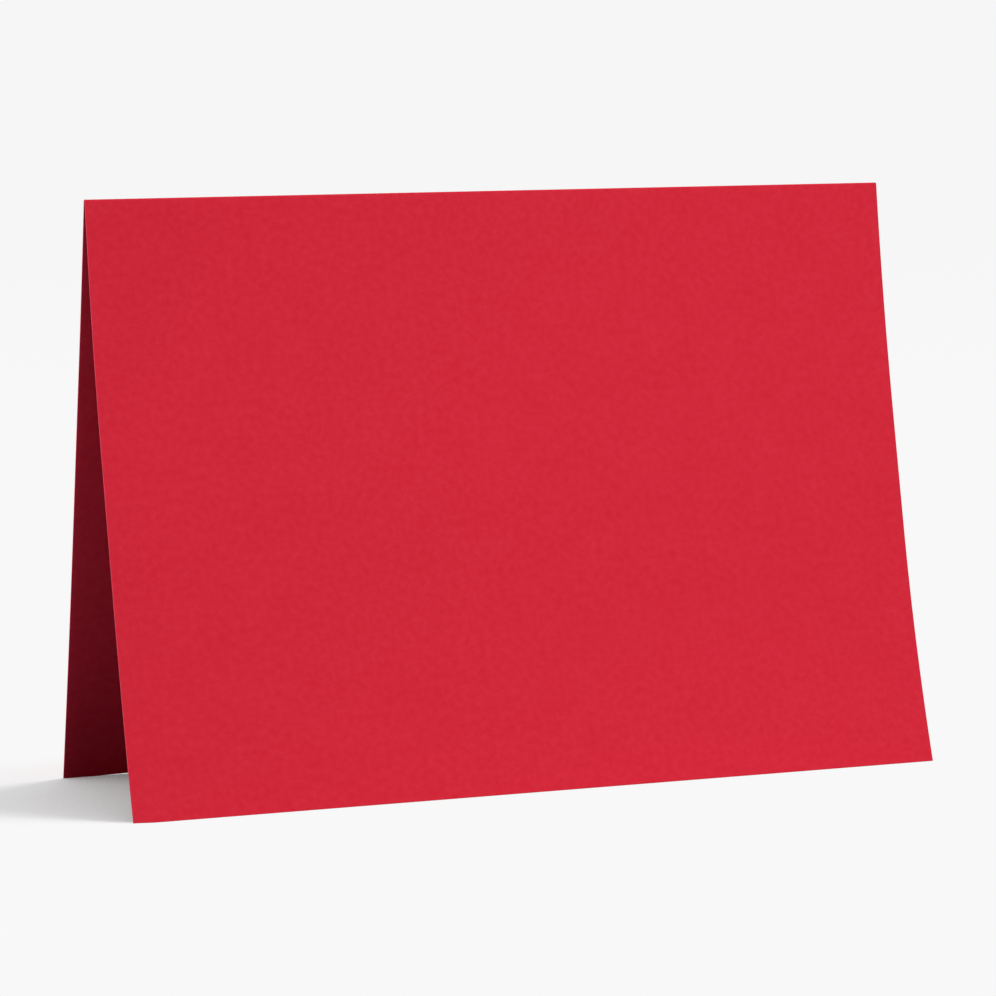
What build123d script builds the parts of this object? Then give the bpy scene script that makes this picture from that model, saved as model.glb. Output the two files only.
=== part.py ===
from build123d import *
import os
from math import atan2, degrees, radians

# A greetings card of dyed cover stock, stood up like a tent. One sheet is trimmed to size, scored
# across its middle with a blunt rule and folded once, with the rule's ridge on the inside.
# X runs along the fold, Z is up and the front panel faces -Y. The origin is on the floor, under
# the middle of the card. Lengths are in millimetres and angles in degrees.

# The trimmed sheet
fold_length = 177.8
panel_height = 127.0  # from the middle of the fold to each foot, measured along the sheet
sheet_thickness = 0.34

# The fold
score_width = 0.24  # the strip that the scoring rule marks, which stays flat on top of the fold
groove_depth = 0.03  # what is left of the rule's groove once the fold has pulled it open
bead_height = 0.08  # the ridge that the rule raises on the inside of the fold
inside_radius = 0.08  # how tightly the sheet turns on each side of the score

# The front panel leaves the fold steeply, bows outwards, runs straight and flares to its foot.
# Its lean angle is measured from the vertical, just below the fold. Its bow and flare angles are
# how much more it leans at the end of that bend than at the start.
front_lean_angle = 6.8
front_bow_length = 50.8
front_bow_angle = 5.5
front_flare_length = 50.8
front_flare_angle = 6.8

# The back panel bows a little below the fold and is flat from there to its foot.
back_lean_angle = 10.2
back_bow_length = 38.1
back_bow_angle = 3.2


def stretch(start, heading, length, turn):
    """One length of the sheet's middle line, bent evenly through turn, or straight if turn is 0."""
    if turn == 0:
        return Line(start, start + heading * length)
    return JernArc(start, heading, length / radians(abs(turn)), turn)


def panel_line(side, lean, bends):
    """Middle line of one panel, from the middle of the fold to its foot on that side, -1 or 1.

    The first bend follows the fold and the others end at the foot, with the straight run between.
    """
    shoulder_radius = inside_radius + sheet_thickness / 2
    shoulder_turn = 90 - lean  # down from level, which the sheet is along the score
    shoulder = (shoulder_radius * radians(shoulder_turn), -shoulder_turn)
    upper = [(score_width / 2, 0), shoulder, bends[0]]
    lower = bends[1:]
    straight_length = panel_height - sum(length for length, turn in upper + lower)
    line = Curve()
    point = Vector(0, 0)
    heading = Vector(side, 0)
    for length, turn in upper + [(straight_length, 0)] + lower:
        edge = stretch(point, heading, length, side * turn)
        line += edge
        point = edge @ 1
        heading = edge % 1
    return line


def arc_segment(height, level):
    """The area between the score's width, drawn at level, and an arc that dips height below it."""
    left = (-score_width / 2, level)
    bottom = (0, level - height)
    right = (score_width / 2, level)
    return make_face(ThreePointArc(left, bottom, right) + Line(right, left))


def sheet_section():
    """The folded sheet seen from its end, with the top of the fold at the drawing's origin."""
    front_bends = [(front_bow_length, front_bow_angle), (front_flare_length, front_flare_angle)]
    back_bends = [(back_bow_length, back_bow_angle)]
    middle = panel_line(-1, front_lean_angle, front_bends) + panel_line(1, back_lean_angle, back_bends)
    groove = arc_segment(groove_depth, sheet_thickness / 2)
    bead = arc_segment(bead_height, -sheet_thickness / 2)
    return trace(middle, sheet_thickness) - groove + bead


def foot_corner(section, side):
    """The lower corner of the cut edge that one panel stands on."""
    corners = section.vertices().filter_by(lambda corner: side * corner.X > 0)
    return corners.sort_by(Axis.Y)[0]


def settled(section):
    """The section turned until both feet stand on the floor, and centred over the origin."""
    front_foot = foot_corner(section, -1)
    back_foot = foot_corner(section, 1)
    tilt = degrees(atan2(back_foot.Y - front_foot.Y, back_foot.X - front_foot.X))
    level = Rot(0, 0, -tilt) * section
    box = level.bounding_box()
    return Pos(-box.center().X, -box.min.Y) * level


def folded_card():
    """The whole card: its section drawn out along the fold."""
    section = Plane.YZ * settled(sheet_section())
    return extrude(section, fold_length / 2, both=True)


os.makedirs("parts", exist_ok=True)
export_step(folded_card(), "parts/folded_card.step")
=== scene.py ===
# %% [markdown]
# # A folded card of dyed cover stock
#
# The real thing is one sheet of uncoated card. It is trimmed to size, scored across its middle
# with a blunt rule, folded once and stood on its two cut feet like a tent.
#
# This lesson makes it in the same order: trim, score, fold, thicken, settle. Then come its
# finish, the light, the floor it stands on and the camera. Everything is in metres, X runs along
# the fold, Z is up and the front panel faces -Y.

# %% Load the frame
from math import asin, ceil, cos, pi, radians, sin, sqrt
import bmesh
import bpy
from mathutils import Matrix, Quaternion, Vector


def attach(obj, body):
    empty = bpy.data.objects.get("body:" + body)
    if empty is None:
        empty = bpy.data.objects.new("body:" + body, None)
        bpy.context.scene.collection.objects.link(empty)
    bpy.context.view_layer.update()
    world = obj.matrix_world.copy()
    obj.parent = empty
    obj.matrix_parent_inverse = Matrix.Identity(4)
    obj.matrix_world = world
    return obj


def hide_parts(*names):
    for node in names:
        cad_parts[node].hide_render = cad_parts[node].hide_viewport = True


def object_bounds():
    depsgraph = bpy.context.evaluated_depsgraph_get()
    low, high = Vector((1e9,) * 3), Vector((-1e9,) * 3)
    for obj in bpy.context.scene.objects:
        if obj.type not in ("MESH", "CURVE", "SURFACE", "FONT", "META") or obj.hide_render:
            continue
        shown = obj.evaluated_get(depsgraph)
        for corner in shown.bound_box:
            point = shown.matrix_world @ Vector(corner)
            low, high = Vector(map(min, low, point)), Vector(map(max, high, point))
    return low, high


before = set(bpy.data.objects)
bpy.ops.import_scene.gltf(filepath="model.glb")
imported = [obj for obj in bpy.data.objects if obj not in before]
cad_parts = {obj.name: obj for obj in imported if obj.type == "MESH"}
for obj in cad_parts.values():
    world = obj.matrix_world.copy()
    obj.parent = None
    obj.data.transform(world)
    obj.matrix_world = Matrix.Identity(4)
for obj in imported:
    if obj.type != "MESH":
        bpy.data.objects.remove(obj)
cad_low, cad_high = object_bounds()
MM = 0.001
print("The solid card, in mm:", [round(size / MM, 2) for size in cad_high - cad_low])

# %% [markdown]
# ## The sizes of the sheet
#
# The card is an A7 one, 7 by 5 inches when folded. Its sizes are those of the solid: the sheet's
# middle line starts level along the score, turns down tightly on each side of it, bows out,
# runs straight, and in front flares to its foot.
#
# Each panel is a list of stretches, from the fold to the foot. A stretch has a length, the angle
# that it turns through, and a number of rows of faces. Enough rows are taken for a turn of ten
# degrees at most from one to the next, which is smooth once it is shaded.

# %% List the stretches of both panels
fold_length = cad_high.x - cad_low.x
panel_height = 127.0 * MM
sheet_thickness = 0.34 * MM
score_width = 0.24 * MM
score_rows = 3
inside_radius = 0.08 * MM
row_spacing = 1.6 * MM
row_turn = 10.0


def stretch(length, turn=0.0, least_rows=1):
    """A length of the sheet, the degrees that it turns outwards, and its number of rows."""
    return length, turn, max(least_rows, ceil(length / row_spacing), ceil(abs(turn) / row_turn))


def panel(lean, bow, foot_bend):
    """The stretches of one panel, which leaves the fold at that lean from the vertical."""
    half_score = stretch(score_width / 2, least_rows=score_rows)
    shoulder_turn = 90 - lean
    shoulder_length = (inside_radius + sheet_thickness / 2) * radians(shoulder_turn)
    upper = [half_score, stretch(shoulder_length, -shoulder_turn), bow]
    used = sum(length for length, turn, rows in upper + foot_bend)
    return upper + [stretch(panel_height - used)] + foot_bend


front = panel(6.8, bow=stretch(50.8 * MM, 5.5), foot_bend=[stretch(50.8 * MM, 6.8)])
back = panel(10.2, bow=stretch(38.1 * MM, 3.2), foot_bend=[])
panels = ((-1, front), (1, back))
for side, stretches in panels:
    print("Side", side, "has rows of faces:", sum(rows for length, turn, rows in stretches))

# %% [markdown]
# ## Trimming and scoring
#
# A guillotine cuts the flat sheet. An operator makes one rectangle, a plane cuts it along every
# row where it will bend, and its edges along the fold are subdivided, so that the sheet can also
# vary from end to end.
#
# Each point keeps its place on the flat sheet as an attribute. The finish reads it later, so the
# paper's pattern goes round the fold without a seam or a stretch, as it does on real paper.

# %% Cut the flat sheet
column_spacing = 1.5 * MM
same_place = 0.001 * MM

sheet = bmesh.new()
bmesh.ops.create_grid(sheet, x_segments=1, y_segments=1, size=0.5)
bmesh.ops.scale(sheet, vec=(fold_length, 2 * panel_height, 1), verts=sheet.verts)


def rows_of(stretches):
    """How far each row lies from the middle of the fold."""
    start = 0
    for length, turn, rows in stretches:
        for row in range(rows):
            yield start + length * row / rows
        start += length


for side, stretches in panels:
    for distance in rows_of(stretches):
        bmesh.ops.bisect_plane(
            sheet, geom=sheet.verts[:] + sheet.edges[:] + sheet.faces[:], dist=same_place,
            plane_co=(0, side * distance, 0), plane_no=(0, 1, 0),
        )


def runs_along_fold(edge):
    """True for an edge that lies in the direction of the fold."""
    first, last = edge.verts
    return abs(first.co.y - last.co.y) < same_place


along_fold = [edge for edge in sheet.edges if runs_along_fold(edge)]
columns = round(fold_length / column_spacing)
bmesh.ops.subdivide_edges(sheet, edges=along_fold, cuts=columns - 1, use_grid_fill=True)
place = sheet.verts.layers.float_vector.new("sheet_place")
for vert in sheet.verts:
    vert[place] = vert.co
print("Flat sheet:", len(sheet.verts), "points and", len(sheet.faces), "faces")

# %% [markdown]
# No cut is quite straight. The foot of the back panel is hollow by a fifth of a millimetre
# between its ends, so a thread of light shows under it, and one front corner is a little worn.
# Only the outermost row of points moves, in the plane of the sheet.

# %% Vary the cut feet
back_foot_hollow = 0.21 * MM
back_foot_contact = 5 * MM
back_foot_ease = 12 * MM
front_corner_wear = 0.17 * MM
front_corner_reach = 5 * MM


def eased(value):
    """Goes smoothly from 0 to 1 as the value does."""
    value = min(max(value, 0), 1)
    return value * value * (3 - 2 * value)


for vert in sheet.verts:
    from_left = vert.co.x + fold_length / 2
    from_end = fold_length / 2 - abs(vert.co.x)
    if panel_height - vert.co.y < same_place:
        vert.co.y -= back_foot_hollow * eased((from_end - back_foot_contact) / back_foot_ease)
    if panel_height + vert.co.y < same_place:
        vert.co.y += front_corner_wear * (1 - eased(from_left / front_corner_reach))

# %% [markdown]
# ## Folding
#
# Paper bends but doesn't stretch, so folding is only turning. At every row of a bend, all that
# lies beyond it is turned about that row by the row's share of the angle. The first and the last
# row of a bend take half a share, which keeps the corners of the row on the true curve.

# %% Fold the sheet
def bend(side, start, length, turn, rows):
    """Turns one panel through one of its stretches."""
    for row in range(rows + 1):
        share = turn / rows * (0.5 if row in (0, rows) else 1)
        distance = start + length * row / rows
        hinge = next(v for v in sheet.verts if abs(side * v[place].y - distance) < same_place)
        beyond = [v for v in sheet.verts if side * v[place].y > distance + same_place]
        turned = Matrix.Rotation(radians(side * share), 3, "X")
        bmesh.ops.rotate(sheet, verts=beyond, cent=hinge.co, matrix=turned)


for side, stretches in panels:
    start = 0
    for length, turn, rows in stretches:
        if turn:
            bend(side, start, length, turn, rows)
        start += length
print("Folded height, in mm:", round(-min(vert.co.z for vert in sheet.verts) / MM, 2))

# %% [markdown]
# No hand folds it quite evenly either. At the left end, low down, both panels spring about half a
# millimetre out of their even curves, the front one outwards and the back one inwards. At the
# right end the front panel springs inwards there, by a third as much. The fold and the feet stay
# straight.

# %% Let the panels spring unevenly
# For each side, its left end and its right end: how far it springs outwards in one wave between
# the fold and the foot, and how far in two waves half as long.
springs = {
    -1: ((0.36 * MM, -0.37 * MM), (-0.07 * MM, 0.16 * MM)),
    1: ((-0.29 * MM, 0.26 * MM), (0.0, 0.0)),
}


def spring(amounts, down):
    """How far the panel is pushed out, at that share of the way down from fold to foot."""
    return amounts[0] * sin(pi * down) + amounts[1] * sin(2 * pi * down)


for vert in sheet.verts:
    side = -1 if vert[place].y < 0 else 1
    down = abs(vert[place].y) / panel_height
    along = vert[place].x / fold_length + 0.5
    at_left, at_right = (spring(amounts, down) for amounts in springs[side])
    vert.co.y += side * ((1 - along) * at_left + along * at_right)

# %% [markdown]
# ## Giving the sheet its thickness
#
# So far the mesh is the middle of the sheet. Half a thickness is added on the outside, and
# solidify makes the inner face and closes the cut edges. The rule then leaves its mark: a groove
# outside and a ridge, called the bead, inside.

# %% Thicken it and press the score
groove_depth = 0.03 * MM
bead_height = 0.08 * MM

sheet.normal_update()
for vert in sheet.verts:
    vert.co += vert.normal * sheet_thickness / 2
made = bmesh.ops.solidify(sheet, geom=sheet.faces[:], thickness=sheet_thickness)
for item in made["geom"]:
    if isinstance(item, bmesh.types.BMVert):
        item[place].z = -sheet_thickness


def arc_height(distance, height):
    """How high an arc over the score stands at a distance from the score's middle line."""
    half = score_width / 2
    radius = (half * half + height * height) / (2 * height)
    return sqrt(max(radius * radius - distance * distance, 0)) - (radius - height)


for vert in sheet.verts:
    distance = abs(vert[place].y)
    if distance < score_width / 2:
        height = bead_height if vert[place].z < 0 else groove_depth
        vert.co.z -= arc_height(distance, height)

# %% [markdown]
# A blade leaves a cut edge crisp but not razor sharp. The cut faces get a material slot of their
# own and a very narrow bevel, so that they catch the light as a fine line.

# %% Finish the cut edges
cut_softness = 0.04 * MM
corner_angle = radians(60)
crisp_angle = radians(15)
FACE, CUT = 0, 1


def is_cut(face):
    """True for a face of the sheet's thickness, which joins its outer and inner faces."""
    depths = [vert[place].z for vert in face.verts]
    return max(depths) - min(depths) > same_place


def slots_beside(edge):
    """The material slots of the faces on both sides of an edge."""
    return {face.material_index for face in edge.link_faces}


for face in sheet.faces:
    face.material_index = CUT if is_cut(face) else FACE
rims = [edge for edge in sheet.edges if slots_beside(edge) == {FACE, CUT}]
cut_edges = [edge for edge in sheet.edges if slots_beside(edge) == {CUT}]
corners = [edge for edge in cut_edges if edge.calc_face_angle(0) > corner_angle]
softened = bmesh.ops.bevel(
    sheet, geom=rims + corners, offset=cut_softness, offset_type="OFFSET", affect="EDGES",
    segments=2, profile=0.5, material=-1, clamp_overlap=True,
)
for face in softened["faces"]:
    face.material_index = CUT
for face in sheet.faces:
    face.smooth = True
for edge in sheet.edges:
    edge.smooth = CUT not in slots_beside(edge) or edge.calc_face_angle(0) <= crisp_angle
print("Edges softened:", len(rims), "along the rims and", len(corners), "at the corners")

# %% [markdown]
# ## Settling on the floor
#
# A free card tips until both feet touch. The lowest point of each panel gives the small angle
# that is left, and the card is then centred on the frame's box, over the origin.

# %% Settle and centre the card
def lowest(side):
    """The lowest point of one panel."""
    return min((v.co for v in sheet.verts if side * v[place].y > 0), key=lambda point: point.z)


span = lowest(1) - lowest(-1)
levelled = Matrix.Rotation(-asin(span.z / span.yz.length), 3, "X")
bmesh.ops.rotate(sheet, verts=sheet.verts, cent=(0, 0, 0), matrix=levelled)
depths = [vert.co.y for vert in sheet.verts]
floor_gap = min(vert.co.z for vert in sheet.verts)
centring = (0, -(min(depths) + max(depths)) / 2, -floor_gap)
bmesh.ops.translate(sheet, verts=sheet.verts, vec=centring)

card_mesh = bpy.data.meshes.new("card_sheet")
sheet.to_mesh(card_mesh)
sheet.free()
card = bpy.data.objects.new("card_sheet", card_mesh)
bpy.context.scene.collection.objects.link(card)
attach(card, "root")
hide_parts("folded_card")
card_mesh.calc_loop_triangles()
print("Triangles of the card:", len(card_mesh.loop_triangles))
print("The card, in mm:", [round(size / MM, 3) for size in card.dimensions])

# %% [markdown]
# ## The finish: uncoated cover stock, dyed in the pulp
#
# The dye goes in before the sheet is made, so the colour runs right through it. With no coating,
# the fibres scatter light every way: the face is matte, and at arm's length one even colour. Up
# close it is a mat of fibres, a little paler or deeper one by one, with a faint cloudiness where
# the pulp lay thicker.
#
# The helpers come first. One turns an sRGB hex colour into the linear values that Blender works
# in, one adds a node with its settings and links, and one empties a tree of nodes.

# %% Helpers for materials
def colour(hex_code):
    """The linear colour of an sRGB hex code."""
    parts = [int(hex_code[i : i + 2], 16) / 255 for i in (0, 2, 4)]
    linear = [p / 12.92 if p <= 0.04045 else ((p + 0.055) / 1.055) ** 2.4 for p in parts]
    return (*linear, 1.0)


def add_node(tree, kind, inputs=None, **settings):
    """Adds a node. An input is a value, or the output of another node to link it to."""
    node = tree.nodes.new(kind)
    for name, value in settings.items():
        setattr(node, name, value)
    for name, value in (inputs or {}).items():
        if isinstance(value, bpy.types.NodeSocket):
            tree.links.new(value, node.inputs[name])
        else:
            node.inputs[name].default_value = value
    return node


def new_tree(owner):
    """The emptied node tree of a material or a world."""
    owner.use_nodes = True
    owner.node_tree.nodes.clear()
    return owner.node_tree


# %% [markdown]
# The pattern is made of noise at the sizes of real paper: clouds some 9 mm wide, a mottle of
# 1.5 mm, and fibres 1.5 mm long. A real fibre is about 0.03 mm wide, too fine to show here, so it
# is drawn 0.2 mm wide.

# %% The pattern of the paper
cloud_size = 9 * MM
mottle_size = 1.5 * MM
fibre_length = 1.5 * MM
fibre_width = 0.2 * MM
fibre_slant = radians(20)
fibre_share = 0.35
cloud_share = 0.15


def paper_pattern(tree, flat):
    """The grain of mottle and fibres, and the tone, which is the grain with the clouds in it."""
    mottle = {"Vector": flat, "Scale": 1 / mottle_size, "Detail": 2.0}
    mottle = add_node(tree, "ShaderNodeTexNoise", mottle).outputs["Fac"]
    drawn_out = (1 / fibre_length, 1 / fibre_width, 1 / fibre_width)
    fibres = {"Vector": flat, "Rotation": (0, 0, fibre_slant), "Scale": drawn_out}
    fibres = add_node(tree, "ShaderNodeMapping", fibres).outputs["Vector"]
    fibres = {"Vector": fibres, "Scale": 1.0, "Detail": 3.0}
    fibres = add_node(tree, "ShaderNodeTexNoise", fibres).outputs["Fac"]
    grain = {"Factor": fibre_share, 2: mottle, 3: fibres}
    grain = add_node(tree, "ShaderNodeMix", grain, data_type="FLOAT").outputs[0]
    clouds = {"Vector": flat, "Scale": 1 / cloud_size, "Detail": 2.0}
    clouds = add_node(tree, "ShaderNodeTexNoise", clouds).outputs["Fac"]
    tone = {"Factor": cloud_share, 2: grain, 3: clouds}
    tone = add_node(tree, "ShaderNodeMix", tone, data_type="FLOAT").outputs[0]
    return grain, tone


# %% [markdown]
# The card's two faces get two reds. The inside one is paler and less deep than the outside one.
# It is painted shade: it stands in for the colour of the dim light inside the tent, and is no
# difference in the paper.
#
# On each side the pattern goes from a deep tone to a pale one. The two are close together, as
# the card is nearly one even red, and the fibres also stand up by a few thousandths of a
# millimetre.

# %% Cover stock, face
outside_dye = (colour("CE1E31"), colour("D72E41"))
# The inside red is painted shade: paler and less deep, for the dim light inside the tent.
inside_painted_shade = (colour("CC2740"), colour("D53A54"))
deepest, palest = 0.27, 0.73
felt_relief = 0.006 * MM
face_roughness = 0.9
paper_gloss = 0.1


def cover_stock_face():
    """Uncoated cover stock dyed red: matte, fibrous and even."""
    material = bpy.data.materials.new("uncoated_cover_stock")
    tree = new_tree(material)
    flat = add_node(tree, "ShaderNodeAttribute", attribute_name="sheet_place").outputs["Vector"]
    grain, tone = paper_pattern(tree, flat)
    outside_dye_and_inside_shade = []
    for deep, pale in (outside_dye, inside_painted_shade):
        ramp = add_node(tree, "ShaderNodeValToRGB", {"Fac": tone})
        stops = ramp.color_ramp.elements
        stops[0].position, stops[0].color = deepest, deep
        stops[1].position, stops[1].color = palest, pale
        outside_dye_and_inside_shade.append(ramp.outputs["Color"])
    # The inside face takes the second red, the painted shade of the tent's inside.
    depth = add_node(tree, "ShaderNodeSeparateXYZ", {0: flat}).outputs["Z"]
    inside = {"Value": depth, "From Min": 0.0, "From Max": -sheet_thickness}
    inside = add_node(tree, "ShaderNodeMapRange", inside).outputs["Result"]
    dye_with_inside_shade = {"Factor": inside, 6: outside_dye_and_inside_shade[0], 7: outside_dye_and_inside_shade[1]}
    dye_with_inside_shade = add_node(tree, "ShaderNodeMix", dye_with_inside_shade, data_type="RGBA").outputs[2]
    relief = {"Height": grain, "Distance": felt_relief, "Strength": 1.0}
    relief = add_node(tree, "ShaderNodeBump", relief).outputs["Normal"]
    paper = {"Base Color": dye_with_inside_shade, "Roughness": face_roughness, "Normal": relief}
    paper["Specular IOR Level"] = paper_gloss
    shader = add_node(tree, "ShaderNodeBsdfPrincipled", paper)
    add_node(tree, "ShaderNodeOutputMaterial", {"Surface": shader.outputs["BSDF"]})
    return material


# %% [markdown]
# On the cut edge the blade leaves the ends of the fibres open. They scatter more light than the
# pressed face does, so the edge is paler and quite without gloss.

# %% Cover stock, cut edge
cut_colour = colour("DE5064")
cut_roughness = 0.95


def cover_stock_cut():
    """The cut edge of the same sheet."""
    material = bpy.data.materials.new("cut_edge_of_cover_stock")
    tree = new_tree(material)
    paper = {"Base Color": cut_colour, "Roughness": cut_roughness}
    paper["Specular IOR Level"] = paper_gloss
    shader = add_node(tree, "ShaderNodeBsdfPrincipled", paper)
    add_node(tree, "ShaderNodeOutputMaterial", {"Surface": shader.outputs["BSDF"]})
    return material


card_mesh.materials.append(cover_stock_face())
card_mesh.materials.append(cover_stock_cut())
print("Materials of the card:", [material.name for material in card_mesh.materials])

# %% [markdown]
# ## The light
#
# The clear light comes from nearly overhead and a little to the right, so the shadow falls to the
# left. It is a lamp of the sun kind, even over the whole floor, and what the white floor sends
# back up is nearly all that reaches the inside of the tent. The walls of the room add a little
# from every side.
#
# The level of each lamp is the share of full light that it gives a surface that faces it. On the
# front panel the shares add up to about 1, and there a colour shows as it is written.

# %% Key light
key_direction = Vector((0.353, -0.099, 0.930))
key_level = 0.53
key_width = radians(12)
room_level = 0.11


def place_lamp(name, kind, direction, **settings):
    """A lamp that shines from that direction."""
    data = bpy.data.lights.new(name, kind)
    for setting, value in settings.items():
        setattr(data, setting, value)
    lamp = bpy.data.objects.new(name, data)
    lamp.rotation_mode = "QUATERNION"
    lamp.rotation_quaternion = direction.to_track_quat("Z", "Y")
    bpy.context.scene.collection.objects.link(lamp)
    return lamp


place_lamp("key", "SUN", key_direction, energy=key_level * pi, angle=key_width)

# %% [markdown]
# Softboxes in front, behind and at the left end light the card alone: they are linked to it, so
# they throw no shadows of their own. The one at the end is small and weak, just enough to draw
# the cut edges as a fine paler line.

# %% Softboxes
softbox_distance = 0.55
softboxes = {
    # name: azimuth and elevation in degrees, width in metres, level
    "front_softbox": (9.4, 28, 0.4, 0.64),
    "back_softbox": (165, 28, 0.4, 0.66),
    "side_softbox": (-97, 5, 0.1, 0.40),
}
card_only = bpy.data.collections.new("card_only")
card_only.objects.link(card)
card_middle = Vector((0, 0, cad_high.z / 2))


def seen_from(azimuth, elevation):
    """The direction from the card to a place: azimuth 0 is in front of it and 90 at its right."""
    a, e = radians(azimuth), radians(elevation)
    return Vector((sin(a) * cos(e), -cos(a) * cos(e), sin(e)))


for name, (azimuth, elevation, width, level) in softboxes.items():
    direction = seen_from(azimuth, elevation)
    power = level * pi * pi * softbox_distance * softbox_distance
    lamp = place_lamp(name, "AREA", direction, shape="SQUARE", size=width, energy=power)
    lamp.location = card_middle + direction * softbox_distance
    lamp.light_linking.receiver_collection = card_only
    lamp.visible_camera = False
    print(name, "gives", round(power, 2), "watts")

# %% [markdown]
# ## The floor and what lies behind it
#
# The card stands on a seamless white studio floor, which runs into a background of the same tone.
# Such a floor is printed nearly blank, with its shadow lifted to a light grey, so here it has two
# looks. The light meets matte white paper, which sends much of it back up under the card, and the
# camera sees a plain tone. A Light Path node tells the two apart.

# %% The two looks of the floor
floor_size = 16.0
floor_white = 0.8
near_level = colour("F8F8F8")[0]
far_level = colour("F6F6F6")[0]
near_end = 0.3
far_start = 3.0


def grey(level):
    """A neutral colour of that linear brightness."""
    return (level, level, level, 1.0)


def shown_to_viewer(tree):
    """1 for rays of the camera, of a gloss and of glass, and 0 for the light on a matte surface."""
    ray = add_node(tree, "ShaderNodeLightPath").outputs
    seen = {0: ray["Is Camera Ray"], 1: ray["Is Glossy Ray"]}
    seen = add_node(tree, "ShaderNodeMath", seen, operation="MAXIMUM")
    seen = {0: seen.outputs[0], 1: ray["Is Transmission Ray"]}
    return add_node(tree, "ShaderNodeMath", seen, operation="MAXIMUM").outputs[0]


def blank_look(tree, spot):
    """The plain tone of the floor, a shade deeper far away."""
    away = add_node(tree, "ShaderNodeVectorMath", {0: spot}, operation="LENGTH").outputs["Value"]
    tone = {"Value": away, "From Min": near_end, "From Max": far_start}
    tone |= {"To Min": near_level, "To Max": far_level}
    tone = add_node(tree, "ShaderNodeMapRange", tone, interpolation_type="SMOOTHSTEP")
    return add_node(tree, "ShaderNodeEmission", {"Strength": tone.outputs["Result"]}).outputs[0]


# %% [markdown]
# Near the card the tone is dimmed by how much of the room the card hides from each spot, which
# the Ambient Occlusion node measures. A share of the lamps' own light and shadow is laid on top.
# Where nothing is hidden, the two add up to the blank floor.

# %% The shaded look of the floor
lamp_share = 0.37
hidden_reach = 0.5
shade_samples = 4
open_tone = near_level - lamp_share * (room_level + key_level * key_direction.z)
shade_tones = {
    # how open the spot is, from 0 to 1: its tone, apart from the lamps' share
    0.0: 0.0,
    0.45: 0.504,
    0.6: 0.586,
    0.75: 0.63,
    0.85: 0.675,
    0.92: open_tone,
}


def shaded_look(tree):
    """The tone of the floor where the card shades it."""
    opening = {"Distance": hidden_reach}
    opening = add_node(tree, "ShaderNodeAmbientOcclusion", opening, samples=shade_samples)
    dimmed = add_node(tree, "ShaderNodeValToRGB", {"Fac": opening.outputs["AO"]})
    stops = dimmed.color_ramp.elements
    stops[1].position = max(shade_tones)
    for position in list(shade_tones)[1:-1]:
        stops.new(position)
    for stop, level in zip(stops, shade_tones.values()):
        stop.color = grey(level)
    dimmed = add_node(tree, "ShaderNodeEmission", {"Color": dimmed.outputs["Color"]})
    lamplit = add_node(tree, "ShaderNodeBsdfDiffuse", {"Color": grey(lamp_share)})
    both = {0: dimmed.outputs[0], 1: lamplit.outputs[0]}
    return add_node(tree, "ShaderNodeAddShader", both).outputs[0]


# %% [markdown]
# Before the front foot, well behind the back one and past the right end nothing is dimmed, as in
# the photograph, where only the inside of the tent and the shadow to its left were kept. Left of
# the card that front border slants backwards, along the edge of the shadow, and grows softer.
#
# Each border is a pair of places: the floor is blank at the first and shaded at the second.

# %% Where the shade shows
front_border = (cad_low.y + 0.6 * MM, cad_low.y + 3.9 * MM)
front_slant = (0.23, 0.81)
back_border = (cad_high.y + 30 * MM, cad_high.y + 8 * MM)
right_border = (cad_high.x + 3 * MM, cad_high.x - 6 * MM)


def shade_shows(tree, spot):
    """1 where the floor has its shaded look, and 0 where it is blank."""
    along = add_node(tree, "ShaderNodeSeparateXYZ", {0: spot}).outputs
    beside = {0: cad_low.x, 1: along["X"]}
    beside = add_node(tree, "ShaderNodeMath", beside, operation="SUBTRACT").outputs[0]
    beside = {0: beside, 1: 0.0}
    beside = add_node(tree, "ShaderNodeMath", beside, operation="MAXIMUM").outputs[0]
    slanted_border = []
    for start, slant in zip(front_border, front_slant):
        place_here = {0: beside, 1: slant, 2: start}
        place_here = add_node(tree, "ShaderNodeMath", place_here, operation="MULTIPLY_ADD")
        slanted_border.append(place_here.outputs[0])
    shown = 1.0
    for axis, border in (("Y", slanted_border), ("Y", back_border), ("X", right_border)):
        fade = {"Value": along[axis], "From Min": border[0], "From Max": border[1]}
        fade = add_node(tree, "ShaderNodeMapRange", fade, interpolation_type="SMOOTHSTEP")
        shown = {0: shown, 1: fade.outputs["Result"]}
        shown = add_node(tree, "ShaderNodeMath", shown, operation="MULTIPLY").outputs[0]
    return shown


# %% [markdown]
# The looks are mixed into one material: paper for the light, and for the viewer the blank or the
# shaded tone.

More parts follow.
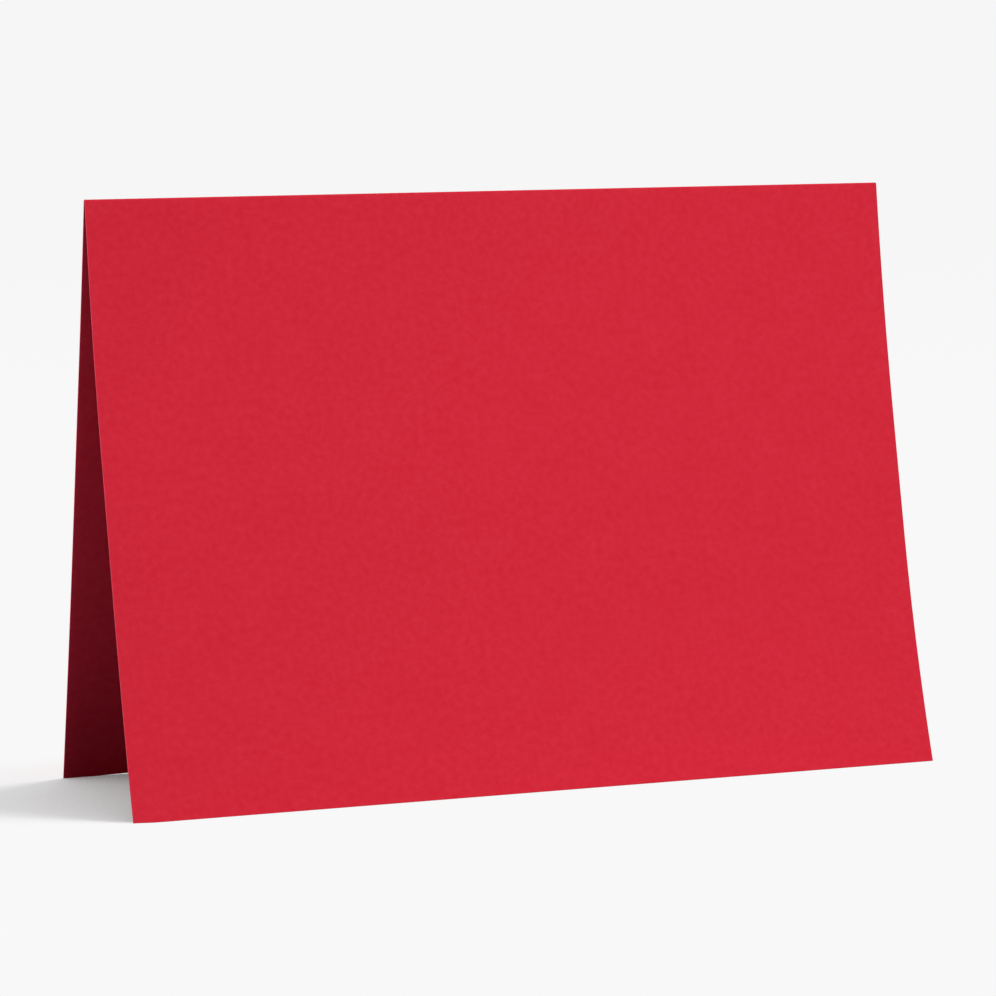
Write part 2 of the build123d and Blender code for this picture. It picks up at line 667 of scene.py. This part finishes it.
# %% The floor
def studio_floor():
    """Matte white paper, with the plain look that a print gives it."""
    material = bpy.data.materials.new("matte_white_floor")
    tree = new_tree(material)
    spot = add_node(tree, "ShaderNodeTexCoord").outputs["Object"]
    seen = {0: shade_shows(tree, spot), 1: blank_look(tree, spot), 2: shaded_look(tree)}
    seen = add_node(tree, "ShaderNodeMixShader", seen).outputs[0]
    paper = add_node(tree, "ShaderNodeBsdfDiffuse", {"Color": grey(floor_white)}).outputs[0]
    mixed = {0: shown_to_viewer(tree), 1: paper, 2: seen}
    mixed = add_node(tree, "ShaderNodeMixShader", mixed)
    add_node(tree, "ShaderNodeOutputMaterial", {"Surface": mixed.outputs[0]})
    return material


ground = bmesh.new()
bmesh.ops.create_grid(ground, x_segments=1, y_segments=1, size=floor_size / 2)
floor_mesh = bpy.data.meshes.new("floor")
ground.to_mesh(floor_mesh)
ground.free()
floor_mesh.materials.append(studio_floor())
floor = bpy.data.objects.new("floor", floor_mesh)
bpy.context.scene.collection.objects.link(floor)
print("The floor is", floor_size, "m wide")

# %% [markdown]
# The world has two looks as well. To the viewer it is the tone of the far floor, so no horizon
# shows. To the light it is the faint glow of the room.

# %% The world
world = bpy.data.worlds.new("studio")
tree = new_tree(world)
room = add_node(tree, "ShaderNodeBackground", {"Color": grey(1.0), "Strength": room_level})
behind = add_node(tree, "ShaderNodeBackground", {"Color": grey(far_level), "Strength": 1.0})
mixed = {0: shown_to_viewer(tree), 1: room.outputs[0], 2: behind.outputs[0]}
mixed = add_node(tree, "ShaderNodeMixShader", mixed)
add_node(tree, "ShaderNodeOutputWorld", {"Surface": mixed.outputs[0]})
bpy.context.scene.world = world

# %% [markdown]
# ## The camera
#
# The camera stands low and to the left, a little over eight hundred millimetres away, at the
# photograph's angle: the card's edges and corners gave its place, tilt and lens.

# %% Camera
camera_side = seen_from(-20.508, 6.135)
camera_roll = radians(-0.635)
camera_distance = 827.62 * MM
camera_target = Vector((-0.01, -0.38, 58.58)) * MM

camera_data = bpy.data.cameras.new("camera")
camera_data.sensor_width = 36
camera_data.lens = 140.71
camera = bpy.data.objects.new("camera", camera_data)
camera.rotation_mode = "QUATERNION"
upright = (-camera_side).to_track_quat("-Z", "Y")
camera.rotation_quaternion = upright @ Quaternion((0, 0, 1), camera_roll)
camera.location = camera_target + camera_side * camera_distance
bpy.context.scene.collection.objects.link(camera)
bpy.context.scene.camera = camera
bpy.context.scene.view_settings.view_transform = "Standard"
